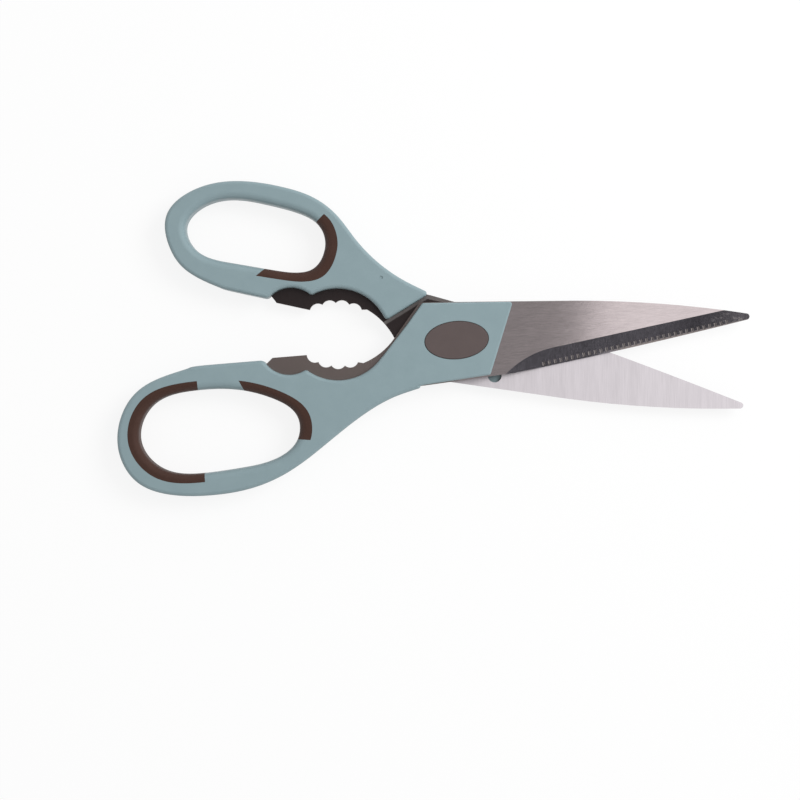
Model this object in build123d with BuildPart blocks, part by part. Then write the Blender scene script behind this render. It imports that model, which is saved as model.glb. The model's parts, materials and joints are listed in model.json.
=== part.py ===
from build123d import *
import os
from math import acos, asin, atan, atan2, cos, degrees, radians, sin

os.makedirs("parts", exist_ok=True)

# The shears lie flat and slightly open. The origin is on the pivot's axis, level with the lowest
# faces. +Z is that axis, and +X runs midway between the two blades, towards their tips.
# Lengths are in millimetres and angles in degrees.
#
# Each lever has a frame of its own at the pivot: x towards its tip, y towards the back of its
# blade, z from the plane where the blades meet out to its cover plate. The back lever's frame is
# the front one's turned over, as on real shears, where both levers come from one stamping.

# The lever as a whole
rest_opening = 16.8
half_thick = 5.4
steel_thick = 2.2
bearing_gap = 0.1

# The blade's outline
blade_reach = 101.3
tip_round = 1.1
tip_rise = 0.7
back_over_pivot = 13.85
back_break_x = 42.0
back_break_y = 10.9
back_bow = 1.1
heel_x = 19.0
heel_depth = 12.15
edge_bow = 0.45
pivot_bore = 3.05

# The bevel that forms the cutting edge
bevel_start_x = 33.0
bevel_start_depth = 4.5
bevel_angle = 7.65
bevel_width = 6.0
edge_land = 0.4
bevel_run_in = 32.0
cut_overrun = 2.0

# The fine serrations along the front blade's edge. The first one's centre lies this far behind
# the bevel's start and this far down its slope, and the row's line leans to follow the edge.
serration_count = 33
serration_pitch = 2.02
serration_radius = 0.5
serration_sink = 0.3
serration_length = 1.5
serration_line = 4.8
serration_start_back = 4.3
serration_angle = 8.2

# The flank, which faces backwards and to the blade's back, and the stop face behind it. Each is
# set by the direction that it faces and by its distance from the pivot.
flank_angle = 140.1
flank_reach = 17.35
flank_end_slide = 11.4
flank_bend_slide = 4.8
tang_margin = 0.9
tang_corner_round = 1.6
stop_angle = 226.3
stop_reach = 19.1
stop_corner_inset = 0.5
stop_corner_slide = 0.8
neck_corner_slide = 0.9

# The bare inner edge of the tang: a run-in, the nut teeth on a circle, and a straight land
grip_centre_x = 39.7
grip_centre_y = 12.8
grip_radius = 17.75
tooth_depth = 1.05
tooth_gap_count = 4
first_tooth_angle = 72.4
run_in_angle = 67.5
land_gap = 0.25
land_end = 63.5

# The tang's hidden outline inside the handle
tang_end = 67.5
tang_end_top = 3.6
tang_strip_depth = 7.4
tang_waist_x = 53.0
tang_waist_side_x = 47.6
tang_waist_side_depth = 11.5
tang_belly_x = 41.5
tang_belly_depth = 20.0
tang_lower_x = 27.0
tang_lower_depth = 14.2
tang_round = 1.5

# Holes through the steel that the moulding fills, which lock the handle on
plug_x = 15.3
plug_y = 8.4
plug_radius = 2.4
plug_recess = 1.5
anchor_radius = 1.9
anchor_near_x = 22.5
anchor_near_depth = 9.0
anchor_far_x = 37.0
anchor_far_depth = 14.8

# The cover plate on the lever's outer face. Its flank bends, and then runs on to touch the rim
# of the moulding, which it laps a little.
plate_top_y = 14.24
plate_front_top_x = 20.3
plate_front_top_y = 12.2
plate_front_low_x = 10.6
plate_front_low_depth = 12.15
plate_low_x = 12.5
plate_low_depth = 13.8
plate_tail_low_x = 34.0
plate_tail_low_depth = 18.0
plate_tail_top_x = 31.0
plate_tail_top_depth = 9.5
plate_rim_lap = 0.15
plate_corner_round = 0.9
plate_edge_round = 0.6

# The moulding's edge round the nut teeth, the hollow behind it, and the neck's waist, from
# which the outer curve of either bow starts
rim_centre_x = 40.2
rim_centre_y = 8.25
rim_radius = 18.1
hollow_centre_x = 57.4
hollow_centre_y = 3.6
hollow_radius = 10.2
rim_corner_round = 1.3
neck_corner_round = 1.0
neck_waist_x = 22.0
neck_waist_depth = 16.8
hollow_corner_round = 2.0
bow_gap = 0.9
outer_round = 1.2
hole_round = 2.4

# The finger bow: its reach behind the pivot, its depth from the lever's line, and its walls.
# The straight land behind the hollow takes its share of the way from there to the bow's end.
finger_reach = 118.7
finger_depth = 45.6
finger_rear_wall = 7.4
finger_side_wall = 7.7
finger_hole_front = 56.0
finger_hole_near = 9.3
finger_land_share = 0.243
# Shares of that reach and depth at points round the outside, from behind the neck to the top
finger_outline_shares = [
    (0.286, 0.489), (0.373, 0.636), (0.435, 0.748), (0.527, 0.888),
    (0.646, 0.982), (0.741, 1.0), (0.851, 0.976), (0.952, 0.860), (1.0, 0.592),
    (0.977, 0.318), (0.901, 0.127), (0.783, 0.036),
]
# Shares of the hole's length, from its front, and of its width, from its near side
finger_hole_shares = [
    (0.0, 0.53), (0.04, 0.74), (0.18, 0.905), (0.40, 0.975), (0.63, 1.0), (0.87, 0.91),
    (1.0, 0.55), (0.90, 0.13), (0.65, 0.0), (0.36, 0.035), (0.145, 0.18), (0.03, 0.345),
]

# The thumb bow, in the same terms
thumb_reach = 106.5
thumb_depth = 39.4
thumb_rear_wall = 7.2
thumb_side_wall = 6.7
thumb_hole_front = 51.0
thumb_hole_near = 10.3
thumb_land_share = 0.19
thumb_outline_shares = [
    (0.328, 0.574), (0.392, 0.698), (0.456, 0.845), (0.516, 0.937),
    (0.573, 0.982), (0.648, 1.0), (0.81, 0.962), (0.925, 0.825), (1.0, 0.54),
    (0.967, 0.274), (0.892, 0.103), (0.789, 0.033),
]
thumb_hole_shares = [
    (0.0, 0.50), (0.028, 0.72), (0.092, 0.872), (0.233, 0.972), (0.455, 1.0), (0.725, 0.96),
    (0.92, 0.742), (1.0, 0.403), (0.91, 0.1), (0.62, 0.0), (0.30, 0.03), (0.143, 0.075),
    (0.055, 0.17), (0.012, 0.32),
]

# The soft pads inside the bows: a rim round the hole, thickened to one side by a shift. The front
# ones end where two lines from a centre behind the hole's front cut them off.
front_pad_rim = 3.0
front_pad_shift = 1.3
rear_pad_rim = 3.0
rear_pad_shift = 0.7
thumb_pad_low_angle = 57.0
thumb_pad_turn = 185.0
finger_pad_low_angle = 8.0
finger_pad_turn = 122.0
rear_pad_length = 28.9
thumb_pad_centre_back = 11.0
thumb_pad_centre_depth = 20.5
finger_pad_centre_back = 10.5
finger_pad_centre_depth = 27.5

# The mark that the moulding gate leaves on the thumb bow's neck
gate_x = 30.0
gate_depth = 16.1
gate_radius = 0.6
gate_sink = 0.3

# The oval caps, which lie flush in a recess of the cover plates
cap_long = 11.1
cap_short = 6.6
cap_shift = 0.6
cap_thick = 0.9
cap_clearance = 0.1
cap_edge_chamfer = 0.25
well_radius = 5.0

# The pivot: a shouldered bolt, a dished washer and a low nut
bolt_shoulder = 3.0
bolt_head_radius = 4.5
bolt_head_thick = 1.5
bolt_slot_width = 1.1
bolt_slot_depth = 0.7
bolt_thread = 2.0
bolt_edge_chamfer = 0.3
shoulder_stand_off = 0.05
washer_radius = 4.4
washer_thick = 0.35
washer_rise = 0.2
washer_clearance = 0.05
nut_flats = 7.0
nut_thick = 1.3

# Places that follow from the sizes above
steel_inner = bearing_gap / 2
steel_outer = steel_inner + steel_thick
mid_plane = Plane.XY.offset(half_thick)
half_opening = rest_opening / 2
front_plane = Plane(
    origin=mid_plane.origin,
    x_dir=(cos(radians(half_opening)), sin(radians(half_opening)), 0),
    z_dir=(0, 0, 1),
)
back_plane = Plane(
    origin=mid_plane.origin,
    x_dir=(cos(radians(half_opening)), -sin(radians(half_opening)), 0),
    z_dir=(0, 0, -1),
)


def on_face(reach, angle, slide):
    """A point of the line that faces the angle at this reach from the pivot, slid along it."""
    along = angle + 90
    x = reach * cos(radians(angle)) + slide * cos(radians(along))
    y = reach * sin(radians(angle)) + slide * sin(radians(along))
    return (x, y)


def on_grip_circle(radius, angle):
    """A point at this radius from the nut teeth's centre, the angle counted below the x axis."""
    x = radius * cos(radians(angle)) - grip_centre_x
    y = grip_centre_y - radius * sin(radians(angle))
    return (x, y)


def bevel_tool(plane):
    """The wedge that grinds the bevel, with the round run-in that the wheel leaves."""
    turn = radians(bevel_angle)
    slope = (steel_thick - edge_land) / bevel_width
    start = plane.from_local_coords((bevel_start_x, -bevel_start_depth, steel_outer))
    ahead = plane.from_local_coords(Vector(cos(turn), sin(turn), 0)) - plane.origin
    across = plane.from_local_coords(Vector(sin(turn), -cos(turn), 0)) - plane.origin
    wedge_plane = Plane(origin=start, x_dir=across, z_dir=ahead)
    with BuildPart() as tool:
        with BuildSketch(wedge_plane) as wedge:
            with BuildLine():
                Polyline(
                    (0, -cut_overrun),
                    (0, 0),
                    (bevel_run_in, bevel_run_in * slope),
                    (bevel_run_in, -cut_overrun),
                    close=True,
                )
            make_face()
        extrude(amount=blade_reach)
        centre = start + across * bevel_run_in
        revolve(wedge.sketch, axis=Axis(centre, plane.z_dir))
    return tool.part


def serration_tool(plane):
    """The row of small round grooves that make the edge bite, square to the edge."""
    turn = radians(bevel_angle)
    tilt = atan((steel_thick - edge_land) / bevel_width)
    start = Vector(bevel_start_x, -bevel_start_depth, steel_outer)
    ahead = Vector(cos(turn), sin(turn), 0)
    up_slope = Vector(-sin(turn) * cos(tilt), cos(turn) * cos(tilt), sin(tilt))
    first = start - ahead * serration_start_back - up_slope * (serration_line / cos(tilt))
    lean = radians(serration_angle - bevel_angle)
    along = ahead * cos(lean) + up_slope * sin(lean)
    across = up_slope * cos(lean) - ahead * sin(lean)
    groove_plane = Plane(
        origin=plane.from_local_coords(first),
        x_dir=plane.from_local_coords(along) - plane.origin,
        z_dir=plane.from_local_coords(across) - plane.origin,
    )
    lift = serration_radius - serration_sink
    with BuildPart() as tool:
        with BuildSketch(groove_plane):
            for groove in range(serration_count):
                with Locations((groove * serration_pitch, -lift)):
                    Circle(serration_radius)
        extrude(amount=serration_length / 2, both=True)
    return tool.part


def make_blade(plane, serrated):
    """One stamped lever: blade, pivot plate, nut teeth and the tang inside the handle."""
    valley_radius = grip_radius + tooth_depth
    land_rise = asin((grip_centre_y + land_gap) / grip_radius)
    last_tooth_angle = 180 - degrees(land_rise)
    tooth_pitch = (last_tooth_angle - first_tooth_angle) / tooth_gap_count
    steel_flank = flank_reach + tang_margin
    back_slope = (back_over_pivot - back_break_y) / back_break_x
    facing = radians(flank_angle)
    corner_slide = (steel_flank * (sin(facing) + back_slope * cos(facing)) - back_over_pivot) / (
        -cos(facing) + back_slope * sin(facing)
    )
    tang_corner = on_face(steel_flank, flank_angle, corner_slide)
    flank_end = on_face(steel_flank, flank_angle, flank_end_slide)
    run_in_end = on_grip_circle(valley_radius, run_in_angle)
    stop_corner = on_face(stop_reach - stop_corner_inset, stop_angle, stop_corner_slide)
    along_flank = (cos(facing + radians(90)), sin(facing + radians(90)))
    with BuildPart() as blade:
        with BuildSketch(plane.offset(steel_inner)) as outline:
            with BuildLine():
                Line(tang_corner, (back_break_x, back_break_y))
                SagittaArc(
                    (back_break_x, back_break_y),
                    (blade_reach - tip_round, tip_rise + tip_round),
                    back_bow,
                )
                ThreePointArc(
                    (blade_reach - tip_round, tip_rise + tip_round),
                    (blade_reach, tip_rise),
                    (blade_reach - tip_round, tip_rise - tip_round),
                )
                SagittaArc(
                    (blade_reach - tip_round, tip_rise - tip_round),
                    (heel_x, -heel_depth),
                    edge_bow,
                )
                Line((heel_x, -heel_depth), stop_corner)
                FilletPolyline(
                    stop_corner,
                    (-tang_lower_x, -tang_lower_depth),
                    (-tang_belly_x, -tang_belly_depth),
                    (-tang_waist_side_x, -tang_waist_side_depth),
                    (-tang_waist_x, -tang_strip_depth),
                    (-tang_end, -tang_strip_depth),
                    (-tang_end, -tang_end_top),
                    (-land_end, -land_gap),
                    radius=tang_round,
                )
                Line((-land_end, -land_gap), on_grip_circle(grip_radius, last_tooth_angle))
                for tooth in range(tooth_gap_count):
                    angle = last_tooth_angle - tooth * tooth_pitch
                    ThreePointArc(
                        on_grip_circle(grip_radius, angle),
                        on_grip_circle(valley_radius, angle - tooth_pitch / 2),
                        on_grip_circle(grip_radius, angle - tooth_pitch),
                    )
                Line(on_grip_circle(grip_radius, first_tooth_angle), run_in_end)
                TangentArc(flank_end, run_in_end, tangent=along_flank)
                Line(flank_end, tang_corner)
            make_face()
            fillet(outline.vertices().sort_by_distance(tang_corner)[0], radius=tang_corner_round)
        extrude(amount=steel_thick)
        with BuildSketch(plane.offset(steel_inner)):
            Circle(pivot_bore)
            with Locations((plug_x, plug_y)):
                Circle(plug_radius)
            with Locations((-anchor_near_x, -anchor_near_depth), (-anchor_far_x, -anchor_far_depth)):
                Circle(anchor_radius)
        extrude(amount=steel_thick, mode=Mode.SUBTRACT)
        add(bevel_tool(plane), mode=Mode.SUBTRACT)
        if serrated:
            add(serration_tool(plane), mode=Mode.SUBTRACT)
    return blade.part


def hole_points(front, rear, near, far, shares, rim=0, shift=0):
    """Points round a bow's hole, grown by a rim and shifted along x where they bound a pad."""
    length = rear - front + 2 * rim
    width = far - near + 2 * rim
    return [
        (shift + rim - front - length * along, rim - near - width * across)
        for along, across in shares
    ]


def make_bow(plane, outline, hole, reach, land_share):
    """The full-thickness part of a handle: the neck behind the stop face, and the bow."""
    neck_corner = on_face(stop_reach, stop_angle, neck_corner_slide)
    neck_slide = (-bow_gap - stop_reach * sin(radians(stop_angle))) / cos(radians(stop_angle))
    neck_top = on_face(stop_reach, stop_angle, neck_slide)
    neck_waist = (-neck_waist_x, -neck_waist_depth)
    hollow_end = hollow_centre_x + hollow_radius
    top_end = hollow_end + (reach - hollow_end) * land_share
    rim_centre = Vector(-rim_centre_x, rim_centre_y)
    hollow_centre = Vector(-hollow_centre_x, hollow_centre_y)
    with BuildPart() as bow:
        with BuildSketch(plane.offset(-half_thick)) as shape:
            with BuildLine():
                Spline(
                    [neck_corner, neck_waist, *outline, (-top_end, -bow_gap)],
                    tangents=[Vector(*neck_waist) - Vector(*neck_corner), (1, 0)],
                )
                Polyline((-top_end, -bow_gap), neck_top, neck_corner)
            make_face()
            fillet(shape.vertices().sort_by_distance(neck_corner)[0], radius=neck_corner_round)
            with Locations(rim_centre):
                Circle(rim_radius, mode=Mode.SUBTRACT)
            with Locations(hollow_centre):
                Circle(hollow_radius, mode=Mode.SUBTRACT)
            rim_corners = shape.vertices().sort_by(
                lambda v: abs((v.center() - rim_centre).length - rim_radius)
            )[:2]
            fillet(rim_corners, radius=rim_corner_round)
            hollow_corner = shape.vertices().sort_by_distance((-hollow_end, 0))[0]
            fillet(hollow_corner, radius=hollow_corner_round)
            with BuildLine():
                Spline(hole, periodic=True)
            make_face(mode=Mode.SUBTRACT)
        extrude(amount=2 * half_thick)
        flats = bow.faces().filter_by(plane)
        fillet([edge for flat in flats for edge in flat.inner_wires()[0].edges()], radius=hole_round)
        flats = bow.faces().filter_by(plane)
        fillet([edge for flat in flats for edge in flat.outer_wire().edges()], radius=outer_round)
    return bow.part


def make_plate(plane):
    """The flat cover over the pivot, whose tail sinks into the neck on the outer side."""
    bend = Vector(*on_face(flank_reach, flank_angle, flank_bend_slide))
    rim_centre = Vector(-rim_centre_x, rim_centre_y)
    from_rim = bend - rim_centre
    lap_radius = rim_radius + plate_rim_lap
    touch_angle = atan2(from_rim.Y, from_rim.X) - acos(lap_radius / from_rim.length)
    rim_touch = rim_centre + Vector(cos(touch_angle), sin(touch_angle)) * lap_radius
    with BuildPart() as plate:
        with BuildSketch(plane.offset(steel_outer)) as outline:
            top_slide = (plate_top_y - flank_reach * sin(radians(flank_angle))) / cos(
                radians(flank_angle)
            )
            with BuildLine():
                Polyline(
                    on_face(flank_reach, flank_angle, top_slide),
                    (plate_front_top_x, plate_front_top_y),
                    (plate_front_low_x, -plate_front_low_depth),
                    (-plate_low_x, -plate_low_depth),
                    (-plate_tail_low_x, -plate_tail_low_depth),
                    (-plate_tail_top_x, -plate_tail_top_depth),
                    rim_touch,
                    bend,
                    close=True,
                )
            make_face()
            fillet(outline.vertices(), radius=plate_corner_round)
        extrude(amount=half_thick - steel_outer)
        outer_face = plate.faces().filter_by(plane).sort_by(Axis.Z)[-1 if plane.z_dir.Z > 0 else 0]
        fillet(outer_face.outer_wire().edges(), radius=plate_edge_round)
    return plate.part


def make_front_band(plane, outline, centre, reach, low_angle, turn):
    """The space of a soft pad round the front of a hole, cut off square at its ends."""
    with BuildPart() as band:
        with BuildSketch(plane.offset(-half_thick - cut_overrun)):
            with BuildLine():
                Spline(outline, periodic=True)
            make_face()
            with BuildLine():
                sweep_arc = CenterArc(centre, reach, -low_angle, turn)
                Polyline(sweep_arc @ 1, centre, sweep_arc @ 0)
            make_face(mode=Mode.INTERSECT)
        extrude(amount=2 * (half_thick + cut_overrun))
    return band.part


def make_rear_band(plane, outline, reach, length):
    """The space of the soft pad round the rear of the finger hole."""
    with BuildPart() as band:
        with BuildSketch(plane.offset(-half_thick - cut_overrun)):
            with BuildLine():
                Spline(outline, periodic=True)
            make_face()
            with Locations((length - reach, 0)):
                Rectangle(
                    reach, 2 * reach, align=(Align.MAX, Align.CENTER), mode=Mode.INTERSECT
                )
        extrude(amount=2 * (half_thick + cut_overrun))
    return band.part


def make_pad(bow, band):
    """A soft pad, flush with the bow that it is moulded into."""
    with BuildPart() as pad:
        add(bow)
        add(band, mode=Mode.INTERSECT)
    return pad.part


def make_handle(plane, blade, bow, bands):
    """A handle as moulded over its lever, with the recess for the cap and the plug in the steel."""
    with BuildPart() as handle:
        add(bow)
        add(make_plate(plane))
        add(blade, mode=Mode.SUBTRACT)
        for band in bands:
            add(band, mode=Mode.SUBTRACT)
        with BuildSketch(plane.offset(steel_inner + plug_recess)):
            with Locations((plug_x, plug_y)):
                Circle(plug_radius)
        extrude(amount=steel_thick)
        with BuildSketch(plane.offset(half_thick - cap_thick)):
            with Locations((0, cap_shift)):
                Ellipse(cap_long, cap_short)
        extrude(amount=half_thick, mode=Mode.SUBTRACT)
        with BuildSketch(plane.offset(steel_outer)):
            Circle(well_radius)
        extrude(amount=half_thick, mode=Mode.SUBTRACT)
    return handle.part


def make_cap(plane):
    """The oval cap that closes the well over the pivot."""
    with BuildPart() as cap:
        with BuildSketch(plane.offset(half_thick - cap_thick)):
            with Locations((0, cap_shift)):
                Ellipse(cap_long - cap_clearance, cap_short - cap_clearance)
        extrude(amount=cap_thick)
        outer_face = cap.faces().filter_by(plane).sort_by(Axis.Z)[-1 if plane.z_dir.Z > 0 else 0]
        chamfer(outer_face.edges(), length=cap_edge_chamfer)
    return cap.part


def save(piece, name):
    """Names a finished piece and writes it."""
    piece.label = name
    export_step(piece, f"parts/{name}.step")


# Blades
front_blade = make_blade(front_plane, True)
back_blade = make_blade(back_plane, False)

# Front lever: the finger bow and its two pads
finger_outline = [
    (-finger_reach * along, -finger_depth * across) for along, across in finger_outline_shares
]
finger_hole_box = (
    finger_hole_front,
    finger_reach - finger_rear_wall,
    finger_hole_near,
    finger_depth - finger_side_wall,
)
finger_hole = hole_points(*finger_hole_box, finger_hole_shares)
finger_bow = make_bow(front_plane, finger_outline, finger_hole, finger_reach, finger_land_share)
finger_front_band = make_front_band(
    front_plane,
    hole_points(*finger_hole_box, finger_hole_shares, front_pad_rim, front_pad_shift),
    (-finger_hole_front - finger_pad_centre_back, -finger_pad_centre_depth),
    finger_reach,
    finger_pad_low_angle,
    finger_pad_turn,
)
finger_rear_band = make_rear_band(
    front_plane,
    hole_points(*finger_hole_box, finger_hole_shares, rear_pad_rim, -rear_pad_shift),
    finger_reach,
    rear_pad_length,
)
finger_grip_front = make_pad(finger_bow, finger_front_band)
finger_grip_rear = make_pad(finger_bow, finger_rear_band)
front_handle = make_handle(
    front_plane, front_blade, finger_bow, [finger_front_band, finger_rear_band]
)

# Back lever: the thumb bow and its pad
thumb_outline = [
    (-thumb_reach * along, -thumb_depth * across) for along, across in thumb_outline_shares
]
thumb_hole_box = (
    thumb_hole_front,
    thumb_reach - thumb_rear_wall,
    thumb_hole_near,
    thumb_depth - thumb_side_wall,
)
thumb_hole = hole_points(*thumb_hole_box, thumb_hole_shares)
thumb_bow = make_bow(back_plane, thumb_outline, thumb_hole, thumb_reach, thumb_land_share)
thumb_band = make_front_band(
    back_plane,
    hole_points(*thumb_hole_box, thumb_hole_shares, front_pad_rim, front_pad_shift),
    (-thumb_hole_front - thumb_pad_centre_back, -thumb_pad_centre_depth),
    thumb_reach,
    thumb_pad_low_angle,
    thumb_pad_turn,
)
thumb_grip = make_pad(thumb_bow, thumb_band)
moulded_back_handle = make_handle(back_plane, back_blade, thumb_bow, [thumb_band])
with BuildPart() as back_handle:
    add(moulded_back_handle)
    with BuildSketch(back_plane.offset(-half_thick)):
        with Locations((-gate_x, -gate_depth)):
            Circle(gate_radius)
    extrude(amount=gate_sink, mode=Mode.SUBTRACT)

# Caps
front_cap = make_cap(front_plane)
back_cap = make_cap(back_plane)

# Pivot bolt: the head lies in the back plate's well, the shoulder carries both levers
nut_seat = steel_outer + washer_clearance + washer_rise + washer_thick
with BuildPart() as pivot_bolt:
    with BuildSketch(mid_plane.offset(-steel_outer - bolt_head_thick)):
        Circle(bolt_head_radius)
    extrude(amount=bolt_head_thick)
    chamfer(pivot_bolt.edges().sort_by(Axis.Z)[0], length=bolt_edge_chamfer)
    with BuildSketch(mid_plane.offset(-steel_outer)):
        Circle(bolt_shoulder)
    extrude(amount=2 * steel_outer + shoulder_stand_off)
    with BuildSketch(mid_plane.offset(steel_outer + shoulder_stand_off)):
        Circle(bolt_thread)
    extrude(amount=nut_seat + nut_thick - steel_outer - shoulder_stand_off)
    with BuildSketch(mid_plane.offset(-steel_outer - bolt_head_thick)):
        Rectangle(2 * bolt_head_radius, bolt_slot_width)
    extrude(amount=bolt_slot_depth, mode=Mode.SUBTRACT)

# Spring washer: a shallow cone, its rim on the front lever and its crown under the nut
upright_plane = Plane(origin=mid_plane.origin, x_dir=(1, 0, 0), z_dir=(0, -1, 0))
washer_foot = steel_outer + washer_clearance
washer_bore = bolt_thread + washer_clearance
with BuildPart() as spring_washer:
    with BuildSketch(upright_plane):
        with BuildLine():
            Polyline(
                (washer_radius, washer_foot),
                (washer_radius, washer_foot + washer_thick),
                (washer_bore, nut_seat),
                (washer_bore, nut_seat - washer_thick),
                close=True,
            )
        make_face()
    revolve(axis=Axis.Z)

# Nut
with BuildPart() as pivot_nut:
    with BuildSketch(mid_plane.offset(nut_seat)):
        RegularPolygon(radius=nut_flats / 2, side_count=6, major_radius=False)
        Circle(washer_bore, mode=Mode.SUBTRACT)
    extrude(amount=nut_thick)

save(front_blade, "front_blade")
save(back_blade, "back_blade")
save(front_handle, "front_handle")
save(back_handle.part, "back_handle")
save(front_cap, "front_cap")
save(back_cap, "back_cap")
save(thumb_grip, "thumb_grip")
save(finger_grip_front, "finger_grip_front")
save(finger_grip_rear, "finger_grip_rear")
save(pivot_bolt.part, "pivot_bolt")
save(spring_washer.part, "spring_washer")
save(pivot_nut.part, "pivot_nut")
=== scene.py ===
import json
from math import cos, pi, radians, sin

import bpy
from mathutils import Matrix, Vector

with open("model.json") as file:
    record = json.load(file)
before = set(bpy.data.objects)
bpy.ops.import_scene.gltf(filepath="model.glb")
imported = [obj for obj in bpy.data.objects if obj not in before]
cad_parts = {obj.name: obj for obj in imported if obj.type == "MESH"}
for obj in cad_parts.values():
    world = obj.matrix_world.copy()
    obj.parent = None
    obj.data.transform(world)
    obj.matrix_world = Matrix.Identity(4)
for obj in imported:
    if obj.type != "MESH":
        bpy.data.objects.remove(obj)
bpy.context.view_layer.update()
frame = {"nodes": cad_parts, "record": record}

# View
# The shears are seen square on to their blades, with the long lens of a shop's picture. The
# camera stands over the middle of that picture and is turned so that the blades point right.
hinge = frame["record"]["behaviour"]["joints"][0]
mid_height = hinge["pos_m"][2]
lever_tilt = radians(-hinge["range_deg"][0] / 2)
image_side = 800
pixels_per_metre = 2900
pivot_pixel_x = 456.4
pivot_pixel_y = 342.3
image_turn = radians(3.75)
sensor_width = 0.036
lens_length = 0.1
millimetres = 1000

camera_distance = image_side / pixels_per_metre * lens_length / sensor_width
image_right = Vector((cos(image_turn), sin(image_turn), 0))
image_up = Vector((-sin(image_turn), cos(image_turn), 0))
camera_data = bpy.data.cameras.new("camera")
camera_data.sensor_width = sensor_width * millimetres
camera_data.lens = lens_length * millimetres
camera = bpy.data.objects.new("camera", camera_data)
bpy.context.collection.objects.link(camera)
camera.location = (
    image_right * (image_side / 2 - pivot_pixel_x) / pixels_per_metre
    + image_up * (pivot_pixel_y - image_side / 2) / pixels_per_metre
    + Vector((0, 0, mid_height + camera_distance))
)
camera.rotation_euler = (0, 0, image_turn)
bpy.context.scene.camera = camera
bpy.context.scene.view_settings.view_transform = "Standard"


# Ground
# Plain white card, larger than any view takes in. What the camera sees of it is lifted towards
# white, and the shadow under the shears stays on it. It lies a hair below the resting faces.
ground_half = 4.0
ground_drop = 0.00005
ground_white = 0.82
ground_lift = 0.86
ground_roughness = 0.9


def feed(tree, socket, value):
    """Joins a node's socket to another one, or sets it to a plain value."""
    if isinstance(value, bpy.types.NodeSocket):
        tree.links.new(value, socket)
    else:
        socket.default_value = value


def calculate(tree, operation, first, second=0.0):
    """The result of a sum on two numbers."""
    node = tree.nodes.new("ShaderNodeMath")
    node.operation = operation
    feed(tree, node.inputs[0], first)
    feed(tree, node.inputs[1], second)
    return node.outputs[0]


def seen_directly(tree):
    """One for what the camera sees, also in metal or through glass, and zero for light."""
    path = tree.nodes.new("ShaderNodeLightPath")
    mirrored = calculate(
        tree, "MAXIMUM", path.outputs["Is Glossy Ray"], path.outputs["Is Transmission Ray"]
    )
    return calculate(tree, "MAXIMUM", path.outputs["Is Camera Ray"], mirrored)


def stage_panel(name, corners):
    """A flat panel that belongs to the stage and not to the shears."""
    mesh = bpy.data.meshes.new(name)
    mesh.from_pydata(corners, [], [tuple(range(len(corners)))])
    panel = bpy.data.objects.new(name, mesh)
    bpy.context.collection.objects.link(panel)
    return panel


ground = stage_panel(
    "ground",
    [
        (-ground_half, -ground_half, -ground_drop),
        (ground_half, -ground_half, -ground_drop),
        (ground_half, ground_half, -ground_drop),
        (-ground_half, ground_half, -ground_drop),
    ],
)
ground_card = bpy.data.materials.new("white_card")
ground_card.use_nodes = True
card_tree = ground_card.node_tree
card_shader = card_tree.nodes["Principled BSDF"]
card_shader.inputs["Base Color"].default_value = (ground_white, ground_white, ground_white, 1)
card_shader.inputs["Roughness"].default_value = ground_roughness
card_glow = card_tree.nodes.new("ShaderNodeEmission")
card_mix = card_tree.nodes.new("ShaderNodeMixShader")
card_lift = calculate(card_tree, "MULTIPLY", seen_directly(card_tree), ground_lift)
feed(card_tree, card_mix.inputs[0], card_lift)
feed(card_tree, card_mix.inputs[1], card_shader.outputs["BSDF"])
feed(card_tree, card_mix.inputs[2], card_glow.outputs["Emission"])
feed(card_tree, card_tree.nodes["Material Output"].inputs["Surface"], card_mix.outputs["Shader"])
ground.data.materials.append(ground_card)


# Light
# A white room, a wide soft lamp to the upper right, and two grey cards overhead that only the
# polished steel mirrors: one over the handles, and one in front, which darkens the ground edge.
room_light = 0.86
room_dark_side = 0.3
room_dark_way = -0.5
room_bright_way = 1.0
lamp_power = 7.0
lamp_size = 0.5
lamp_place = Vector((0.55, 0.35, 0.72))
card_height = 0.9
card_reach = 1.2
card_edge = 0.119
card_front_edge = -0.22
handle_card_grey = 0.3
front_card_grey = 0.11

world = bpy.data.worlds.new("white_room")
bpy.context.scene.world = world
world.use_nodes = True
room_tree = world.node_tree
room = room_tree.nodes["Background"]
room.inputs["Color"].default_value = (1, 1, 1, 1)
room_way = room_tree.nodes.new("ShaderNodeTexCoord")
room_dot = room_tree.nodes.new("ShaderNodeVectorMath")
room_dot.operation = "DOT_PRODUCT"
feed(room_tree, room_dot.inputs[0], room_way.outputs["Generated"])
feed(room_tree, room_dot.inputs[1], lamp_place.normalized())
room_fall = room_tree.nodes.new("ShaderNodeMapRange")
feed(room_tree, room_fall.inputs["Value"], room_dot.outputs["Value"])
feed(room_tree, room_fall.inputs["From Min"], room_dark_way)
feed(room_tree, room_fall.inputs["From Max"], room_bright_way)
feed(room_tree, room_fall.inputs["To Min"], room_dark_side)
feed(room_tree, room_fall.inputs["To Max"], room_light)
room_lit = room_tree.nodes.new("ShaderNodeMix")
feed(room_tree, room_lit.inputs[0], seen_directly(room_tree))
feed(room_tree, room_lit.inputs[2], room_fall.outputs["Result"])
feed(room_tree, room_lit.inputs[3], 1.0)
feed(room_tree, room.inputs["Strength"], room_lit.outputs[0])

lamp_data = bpy.data.lights.new("soft_lamp", "AREA")
lamp_data.energy = lamp_power
lamp_data.size = lamp_size
lamp = bpy.data.objects.new("soft_lamp", lamp_data)
bpy.context.collection.objects.link(lamp)
lamp.location = lamp_place
lamp.rotation_euler = lamp_place.to_track_quat("Z", "Y").to_euler()
lamp.visible_camera = False
lamp.visible_glossy = False


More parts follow.
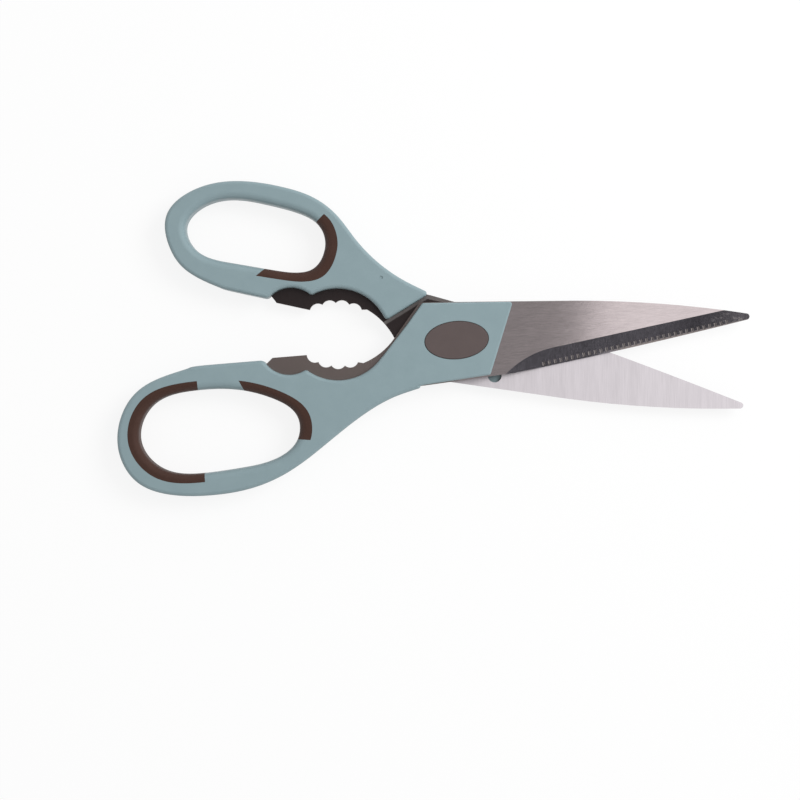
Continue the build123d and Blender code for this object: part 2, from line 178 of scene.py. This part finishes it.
def grey_card(name, low_x, high_x, low_y, high_y, grey):
    """A card overhead that is seen in polished metal alone."""
    card = stage_panel(
        name,
        [
            (low_x, low_y, card_height),
            (low_x, high_y, card_height),
            (high_x, high_y, card_height),
            (high_x, low_y, card_height),
        ],
    )
    paint = bpy.data.materials.new(name)
    paint.use_nodes = True
    glow = paint.node_tree.nodes.new("ShaderNodeEmission")
    glow.inputs["Color"].default_value = (grey, grey, grey, 1)
    output = paint.node_tree.nodes["Material Output"]
    feed(paint.node_tree, output.inputs["Surface"], glow.outputs["Emission"])
    card.data.materials.append(paint)
    card.visible_camera = False
    card.visible_diffuse = False
    card.visible_shadow = False
    card.visible_transmission = False


grey_card("handle_card", -card_reach, card_edge, card_front_edge, card_reach, handle_card_grey)
grey_card("front_card", -card_reach, card_reach, -card_reach, card_front_edge, front_card_grey)


# Blades
# Two stampings of stainless steel sheet. Each is ground lengthwise on its outer face and across
# on its inner one, a wheel has cut the bevel, and the tang behind the pivot is left as rolled.

# Colours of the faces
outer_face = (0.65, 0.57, 0.578, 1)
inner_face = (0.586, 0.547, 0.574, 1)
bevel_face = (0.46, 0.43, 0.49, 1)
worn_face = (0.235, 0.216, 0.206, 1)
# The painted glint along the cutting edge
painted_edge_glint = (0.3, 0.26, 0.25, 1)
groove_face = (0.25, 0.221, 0.214, 1)
cut_edge = (0.2, 0.18, 0.175, 1)
outer_tang = (0.31, 0.255, 0.24, 1)
# The tang's inner face, rolled steel darkened further as painted shade, and the painted lit
# strips on it
rolled_tang_in_painted_shade = (0.078, 0.062, 0.062, 1)
painted_lit_strip_colour = (0.31, 0.28, 0.272, 1)

# Gloss of the faces, and how far a brushed or worn one, or the painted edge glint, still mirrors
# as metal does
outer_roughness = 0.1
inner_roughness = 0.34
bevel_roughness = 0.22
tang_roughness = 0.42
inner_metal = 0.15
groove_metal = 0.3

# How a face has to be turned to count as flat, as a cut side, or as a groove's wall
facing_flat = 0.985
facing_side = 0.3
facing_along = 0.26

# The bevel grows darker towards the tip, where use has worn spots into it
tip_darkening_start = 0.068
tip_darkening_full = 0.084
tip_darkening_contrast = (1.0, 0.68)
worn_start = 0.082
worn_full = 0.099
worn_spot = 0.0016
worn_spot_start = 0.54
worn_spot_full = 0.68
worn_between_share = 0.2

# A painted glint along the cutting edge, whose line rises from the heel
edge_heel = Vector((0.019, -0.01215, 0))
edge_rise = radians(8.2)
glint_start = 0.045
glint_full = 0.06
glint_width = 0.00055

# Tang behind the pivot: painted shade inside, painted lit strips at its stop face and low edge
tang_start = 0.0
tang_fade = 0.004
stop_direction = radians(226.3)
lit_strip_reach = 0.0191
lit_strip_width = 0.0014
lit_strip_soft = 0.0006
lit_low_strip_depth = 0.0125

# The lines that grinding leaves: their length, spacing, slant, contrast and depth
outer_line_length = 0.003
outer_line_spacing = 0.0002
outer_line_contrast = (0.74, 1.25)
outer_band_contrast = (0.9, 1.1)
inner_line_length = 0.008
inner_line_spacing = 0.00025
inner_line_turn = radians(102)
inner_line_contrast = (0.8, 1.19)
inner_band_contrast = (0.92, 1.08)
bevel_line_length = 0.006
bevel_line_spacing = 0.0005
bevel_line_contrast = (0.4, 1.6)
bevel_band_contrast = (0.7, 1.3)
band_stretch = (0.4, 0.08, 0.08)
line_depth = 0.000003


def node_group(name, inputs, outputs):
    """A shader node group with named sockets, given with its two end nodes."""
    group = bpy.data.node_groups.new(name, "ShaderNodeTree")
    for label, kind in inputs:
        group.interface.new_socket(name=label, in_out="INPUT", socket_type=kind)
    for label, kind in outputs:
        group.interface.new_socket(name=label, in_out="OUTPUT", socket_type=kind)
    return group, group.nodes.new("NodeGroupInput"), group.nodes.new("NodeGroupOutput")


def use_group(tree, group, **values):
    """A node that places a group in a material, with its inputs fed by name."""
    node = tree.nodes.new("ShaderNodeGroup")
    node.node_tree = group
    for label, value in values.items():
        feed(tree, node.inputs[label], value)
    return node


def step_between(tree, value, low, high):
    """Rises smoothly from zero at one value to one at the other."""
    node = tree.nodes.new("ShaderNodeMapRange")
    node.interpolation_type = "SMOOTHSTEP"
    feed(tree, node.inputs["Value"], value)
    feed(tree, node.inputs["From Min"], low)
    feed(tree, node.inputs["From Max"], high)
    return node.outputs["Result"]


def blend(tree, factor, first, second):
    """A mix of two colours."""
    node = tree.nodes.new("ShaderNodeMix")
    node.data_type = "RGBA"
    feed(tree, node.inputs[0], factor)
    feed(tree, node.inputs[6], first)
    feed(tree, node.inputs[7], second)
    return node.outputs[2]


def mix_numbers(tree, factor, first, second):
    """A mix of two numbers."""
    node = tree.nodes.new("ShaderNodeMix")
    feed(tree, node.inputs[0], factor)
    feed(tree, node.inputs[2], first)
    feed(tree, node.inputs[3], second)
    return node.outputs[0]


def scaled(tree, vector, factor):
    """A vector times another one, part by part."""
    node = tree.nodes.new("ShaderNodeVectorMath")
    node.operation = "MULTIPLY"
    feed(tree, node.inputs[0], vector)
    feed(tree, node.inputs[1], factor)
    return node.outputs["Vector"]


def noise(tree, vector, scale, detail, roughness):
    """Plain noise between zero and one."""
    node = tree.nodes.new("ShaderNodeTexNoise")
    feed(tree, node.inputs["Vector"], vector)
    feed(tree, node.inputs["Scale"], scale)
    feed(tree, node.inputs["Detail"], detail)
    feed(tree, node.inputs["Roughness"], roughness)
    return node.outputs["Fac"]


def shaded(tree, colour, shade, contrast):
    """A colour made darker or lighter by a pattern between zero and one."""
    level = mix_numbers(tree, shade, *contrast)
    grey = tree.nodes.new("ShaderNodeCombineColor")
    for channel in range(3):
        feed(tree, grey.inputs[channel], level)
    node = tree.nodes.new("ShaderNodeMix")
    node.data_type = "RGBA"
    node.blend_type = "MULTIPLY"
    node.inputs[0].default_value = 1.0
    feed(tree, node.inputs[6], colour)
    feed(tree, node.inputs[7], grey.outputs["Color"])
    return node.outputs[2]


# Lines that a grinding belt leaves, along the first axis of the place that is fed in
grinding_lines, lines_in, lines_out = node_group(
    "grinding_lines",
    [
        ("Place", "NodeSocketVector"),
        ("Length", "NodeSocketFloat"),
        ("Spacing", "NodeSocketFloat"),
    ],
    [("Lines", "NodeSocketFloat"), ("Bands", "NodeSocketFloat")],
)
lines_split = grinding_lines.nodes.new("ShaderNodeCombineXYZ")
along_scale = calculate(grinding_lines, "DIVIDE", 1.0, lines_in.outputs["Length"])
across_scale = calculate(grinding_lines, "DIVIDE", 1.0, lines_in.outputs["Spacing"])
feed(grinding_lines, lines_split.inputs["X"], along_scale)
feed(grinding_lines, lines_split.inputs["Y"], across_scale)
feed(grinding_lines, lines_split.inputs["Z"], across_scale)
lines_place = scaled(grinding_lines, lines_in.outputs["Place"], lines_split.outputs["Vector"])
feed(
    grinding_lines,
    lines_out.inputs["Lines"],
    noise(grinding_lines, lines_place, scale=1.0, detail=4.0, roughness=0.65),
)
bands_place = scaled(grinding_lines, lines_place, band_stretch)
feed(
    grinding_lines,
    lines_out.inputs["Bands"],
    noise(grinding_lines, bands_place, scale=1.0, detail=2.0, roughness=0.5),
)


def lever_place(tree, side):
    """The place on a lever: along its blade, towards the blade's back, and outwards."""
    place = tree.nodes.new("ShaderNodeTexCoord")
    turned = tree.nodes.new("ShaderNodeMapping")
    turned.inputs["Location"].default_value = (0, 0, -side * mid_height)
    turned.inputs["Rotation"].default_value = (0, 0, -lever_tilt)
    turned.inputs["Scale"].default_value = (1, side, side)
    feed(tree, turned.inputs["Vector"], place.outputs["Object"])
    normal = tree.nodes.new("ShaderNodeSeparateXYZ")
    feed(tree, normal.inputs["Vector"], place.outputs["Normal"])
    outward = calculate(tree, "MULTIPLY", normal.outputs["Z"], side)
    onward = calculate(tree, "MULTIPLY", normal.outputs["X"], cos(lever_tilt))
    sideways = calculate(tree, "MULTIPLY", normal.outputs["Y"], side * sin(lever_tilt))
    return turned.outputs["Vector"], outward, calculate(tree, "ADD", onward, sideways)


def turned_by(tree, vector, angle):
    """The same place turned by an angle, for lines that run across."""
    node = tree.nodes.new("ShaderNodeVectorRotate")
    node.rotation_type = "Z_AXIS"
    feed(tree, node.inputs["Vector"], vector)
    feed(tree, node.inputs["Angle"], angle)
    return node.outputs["Vector"]


def new_material(name):
    """A material with its node tree and its shader."""
    material = bpy.data.materials.new(name)
    material.use_nodes = True
    return material, material.node_tree, material.node_tree.nodes["Principled BSDF"]


def add_relief(tree, shader, height, depth):
    """Gives a shader the relief of a height pattern of this depth in metres."""
    bump = tree.nodes.new("ShaderNodeBump")
    bump.inputs["Distance"].default_value = depth
    feed(tree, bump.inputs["Height"], height)
    feed(tree, shader.inputs["Normal"], bump.outputs["Normal"])


def face_masks(tree, outward, onward):
    """Tells a blade's inner face, cut sides, bevel and grooves by the way that each is turned."""
    is_inner = calculate(tree, "LESS_THAN", outward, -facing_flat)
    is_side = calculate(tree, "LESS_THAN", calculate(tree, "ABSOLUTE", outward), facing_side)
    tilted = calculate(tree, "LESS_THAN", outward, facing_flat)
    raised = calculate(tree, "GREATER_THAN", outward, facing_side)
    is_bevel = calculate(tree, "MULTIPLY", tilted, raised)
    leaning = calculate(tree, "GREATER_THAN", calculate(tree, "ABSOLUTE", onward), facing_along)
    is_groove = calculate(tree, "MULTIPLY", is_bevel, leaning)
    return is_inner, is_side, is_bevel, is_groove


def height_over_edge(tree, place):
    """How far a place lies from the line of the cutting edge."""
    from_heel = tree.nodes.new("ShaderNodeVectorMath")
    from_heel.operation = "SUBTRACT"
    feed(tree, from_heel.inputs[0], place)
    feed(tree, from_heel.inputs[1], edge_heel)
    height = tree.nodes.new("ShaderNodeVectorMath")
    height.operation = "DOT_PRODUCT"
    feed(tree, height.inputs[0], from_heel.outputs["Vector"])
    feed(tree, height.inputs[1], (-sin(edge_rise), cos(edge_rise), 0))
    return height.outputs["Value"]


def bevel_finish_and_painted_glint(tree, place, along, wheel):
    """The bevel's colour, and a mask of the worn tip and of the painted glint along the edge."""
    colour = shaded(tree, bevel_face, wheel.outputs["Lines"], bevel_line_contrast)
    colour = shaded(tree, colour, wheel.outputs["Bands"], bevel_band_contrast)
    near_end = step_between(tree, along, tip_darkening_start, tip_darkening_full)
    colour = shaded(tree, colour, near_end, tip_darkening_contrast)

    spots = noise(tree, place, scale=1 / worn_spot, detail=3.0, roughness=0.7)
    spots = step_between(tree, spots, worn_spot_start, worn_spot_full)
    spots = mix_numbers(tree, spots, worn_between_share, 1.0)
    near_tip = step_between(tree, along, worn_start, worn_full)
    worn = calculate(tree, "MULTIPLY", near_tip, spots)
    colour = blend(tree, worn, colour, worn_face)

    # Painted highlight: a band along the cutting edge, past the heel, in its own colour and
    # mirroring less
    low_down = step_between(tree, height_over_edge(tree, place), glint_width, 0.0)
    past_heel = step_between(tree, along, glint_start, glint_full)
    on_painted_glint = calculate(tree, "MULTIPLY", low_down, past_heel)
    colour = blend(tree, on_painted_glint, colour, painted_edge_glint)
    return colour, calculate(tree, "MAXIMUM", worn, on_painted_glint)


def tang_finish_and_painted_light(tree, along, aside, is_inner):
    """The tang's colour: dark inside, as rolled and in painted shade, but for painted lit strips,
    and paler outside.
    """
    # Painted light: paler strips beside the stop face and along the low edge; the rest inside is
    # painted shade
    reach = calculate(
        tree,
        "ADD",
        calculate(tree, "MULTIPLY", along, cos(stop_direction)),
        calculate(tree, "MULTIPLY", aside, sin(stop_direction)),
    )
    lit_strip_start = lit_strip_reach - lit_strip_width
    on_painted_lit_strip = step_between(tree, reach, lit_strip_start, lit_strip_start + lit_strip_soft)
    short_of_stop = calculate(tree, "LESS_THAN", reach, lit_strip_reach)
    on_painted_lit_strip = calculate(tree, "MULTIPLY", on_painted_lit_strip, short_of_stop)
    on_painted_lit_low_strip = calculate(tree, "LESS_THAN", aside, -lit_low_strip_depth)
    on_painted_lit_strip = calculate(tree, "MAXIMUM", on_painted_lit_strip, on_painted_lit_low_strip)
    inner_tang = blend(tree, on_painted_lit_strip, rolled_tang_in_painted_shade, painted_lit_strip_colour)
    return blend(tree, is_inner, outer_tang, inner_tang)


def blade_steel(name, side):
    """The steel of one lever, with a finish for each of its faces."""
    material, tree, shader = new_material(name)
    place, outward, onward = lever_place(tree, side)
    split = tree.nodes.new("ShaderNodeSeparateXYZ")
    feed(tree, split.inputs["Vector"], place)
    along, aside = split.outputs["X"], split.outputs["Y"]
    across = turned_by(tree, place, pi / 2)
    askew = turned_by(tree, place, inner_line_turn)
    is_inner, is_side, is_bevel, is_groove = face_masks(tree, outward, onward)
    is_tang = step_between(tree, along, tang_start, tang_start - tang_fade)

    outer = use_group(
        tree, grinding_lines, Place=place, Length=outer_line_length, Spacing=outer_line_spacing
    )
    inner = use_group(
        tree, grinding_lines, Place=askew, Length=inner_line_length, Spacing=inner_line_spacing
    )
    wheel = use_group(
        tree, grinding_lines, Place=across, Length=bevel_line_length, Spacing=bevel_line_spacing
    )
    outer_colour = shaded(tree, outer_face, outer.outputs["Lines"], outer_line_contrast)
    outer_colour = shaded(tree, outer_colour, outer.outputs["Bands"], outer_band_contrast)
    inner_colour = shaded(tree, inner_face, inner.outputs["Lines"], inner_line_contrast)
    inner_colour = shaded(tree, inner_colour, inner.outputs["Bands"], inner_band_contrast)
    bevel_colour, worn_or_glint = bevel_finish_and_painted_glint(tree, place, along, wheel)
    tang_colour = tang_finish_and_painted_light(tree, along, aside, is_inner)
    colour = blend(tree, is_inner, outer_colour, inner_colour)
    colour = blend(tree, is_bevel, colour, bevel_colour)
    colour = blend(tree, is_groove, colour, groove_face)
    colour = blend(tree, is_side, colour, cut_edge)
    colour = blend(tree, is_tang, colour, tang_colour)
    feed(tree, shader.inputs["Base Color"], colour)

    roughness = mix_numbers(tree, is_inner, outer_roughness, inner_roughness)
    roughness = mix_numbers(tree, is_bevel, roughness, bevel_roughness)
    roughness = mix_numbers(tree, is_side, roughness, inner_roughness)
    roughness = mix_numbers(tree, is_tang, roughness, tang_roughness)
    feed(tree, shader.inputs["Roughness"], roughness)

    metal = mix_numbers(tree, is_inner, 1.0, inner_metal)
    metal = mix_numbers(tree, is_groove, metal, groove_metal)
    # The worn spots and the painted edge glint mirror less than the rest of the bevel
    on_worn_or_glint = calculate(tree, "MULTIPLY", is_bevel, worn_or_glint)
    metal = mix_numbers(tree, on_worn_or_glint, metal, groove_metal)
    feed(tree, shader.inputs["Metallic"], mix_numbers(tree, is_tang, metal, 1.0))

    height = mix_numbers(tree, is_inner, outer.outputs["Lines"], inner.outputs["Lines"])
    height = mix_numbers(tree, is_bevel, height, wheel.outputs["Lines"])
    add_relief(tree, shader, height, line_depth)
    return material


def dress(node, material):
    """Gives a piece of the frame its finish."""
    for slot in frame["nodes"][node].material_slots:
        slot.material = material


dress("front_blade", blade_steel("front_blade_steel", 1))
dress("back_blade", blade_steel("back_blade_steel", -1))


# Handles
# Hard plastic in duck-egg blue, moulded over each tang and over the pivot. The mould's fine
# texture leaves it satin, and its colour is a little cloudy.
duck_egg = (0.235, 0.315, 0.337, 1)
duck_egg_deep = (0.205, 0.28, 0.302, 1)
handle_roughness = 0.42
roughness_play = 0.05
handle_cloud = 0.006
skin_grain = 0.00035
skin_depth = 0.000012

moulded_skin, skin_in, skin_out = node_group(
    "moulded_skin",
    [("Place", "NodeSocketVector"), ("Grain", "NodeSocketFloat"), ("Cloud", "NodeSocketFloat")],
    [("Height", "NodeSocketFloat"), ("Clouds", "NodeSocketFloat")],
)
grain_scale = calculate(moulded_skin, "DIVIDE", 1.0, skin_in.outputs["Grain"])
cloud_scale = calculate(moulded_skin, "DIVIDE", 1.0, skin_in.outputs["Cloud"])
feed(
    moulded_skin,
    skin_out.inputs["Height"],
    noise(moulded_skin, skin_in.outputs["Place"], grain_scale, detail=2.0, roughness=0.5),
)
feed(
    moulded_skin,
    skin_out.inputs["Clouds"],
    noise(moulded_skin, skin_in.outputs["Place"], cloud_scale, detail=3.0, roughness=0.6),
)


def moulding(name, colour, deep, roughness, grain, cloud, depth):
    """A moulded material, plain but for its grain and a little cloudiness."""
    material, tree, shader = new_material(name)
    place = tree.nodes.new("ShaderNodeTexCoord")
    skin = use_group(
        tree, moulded_skin, Place=place.outputs["Object"], Grain=grain, Cloud=cloud
    )
    feed(tree, shader.inputs["Base Color"], blend(tree, skin.outputs["Clouds"], deep, colour))
    uneven = mix_numbers(
        tree, skin.outputs["Height"], roughness - roughness_play, roughness + roughness_play
    )
    feed(tree, shader.inputs["Roughness"], uneven)
    add_relief(tree, shader, skin.outputs["Height"], depth)
    return material


blue_plastic = moulding(
    "duck_egg_plastic",
    duck_egg,
    duck_egg_deep,
    handle_roughness,
    skin_grain,
    handle_cloud,
    skin_depth,
)
dress("front_handle", blue_plastic)
dress("back_handle", blue_plastic)


# Oval caps
# Two ovals of brown-grey plastic, moulded by themselves and pressed flush into the cover
# plates, where they close the wells over the pivot.
cap_brown = (0.098, 0.074, 0.071, 1)
cap_brown_deep = (0.085, 0.063, 0.061, 1)
cap_roughness = 0.4
cap_cloud = 0.004

cap_plastic = moulding(
    "cap_plastic", cap_brown, cap_brown_deep, cap_roughness, skin_grain, cap_cloud, skin_depth
)
dress("front_cap", cap_plastic)
dress("back_cap", cap_plastic)


# Soft pads
# Dark brown rubber, moulded into the bows where the thumb and the fingers press. It lies
# flush with them all round, and is duller than the hard plastic.
rubber_brown = (0.052, 0.021, 0.013, 1)
rubber_brown_deep = (0.04, 0.014, 0.008, 1)
rubber_roughness = 0.6
rubber_cloud = 0.005
rubber_grain = 0.0005
rubber_depth = 0.00002

pad_rubber = moulding(
    "pad_rubber",
    rubber_brown,
    rubber_brown_deep,
    rubber_roughness,
    rubber_grain,
    rubber_cloud,
    rubber_depth,
)
dress("thumb_grip", pad_rubber)
dress("finger_grip_front", pad_rubber)
dress("finger_grip_rear", pad_rubber)


# Pivot
# A turned steel bolt, its dished washer and its nut, which hold the two levers together.
# They lie in the wells of the cover plates, closed in under the caps.
turned_steel = (0.5, 0.49, 0.48, 1)
turned_roughness = 0.3
turned_roughness_play = 0.1
turning_spacing = 0.00012
turning_waver = 1.0
turning_contrast = (0.85, 1.1)

pivot_steel, pivot_tree, pivot_shader = new_material("turned_steel")
pivot_shader.inputs["Metallic"].default_value = 1.0
pivot_place = pivot_tree.nodes.new("ShaderNodeTexCoord")
pivot_rings = pivot_tree.nodes.new("ShaderNodeTexWave")
pivot_rings.wave_type = "RINGS"
pivot_rings.rings_direction = "Z"
pivot_rings.inputs["Scale"].default_value = 1 / turning_spacing / (2 * pi)
pivot_rings.inputs["Distortion"].default_value = turning_waver
feed(pivot_tree, pivot_rings.inputs["Vector"], pivot_place.outputs["Object"])
feed(
    pivot_tree,
    pivot_shader.inputs["Base Color"],
    shaded(pivot_tree, turned_steel, pivot_rings.outputs["Fac"], turning_contrast),
)
pivot_roughness = mix_numbers(
    pivot_tree,
    pivot_rings.outputs["Fac"],
    turned_roughness,
    turned_roughness + turned_roughness_play,
)
feed(pivot_tree, pivot_shader.inputs["Roughness"], pivot_roughness)
add_relief(pivot_tree, pivot_shader, pivot_rings.outputs["Fac"], line_depth)
dress("pivot_bolt", pivot_steel)
dress("spring_washer", pivot_steel)
dress("pivot_nut", pivot_steel)
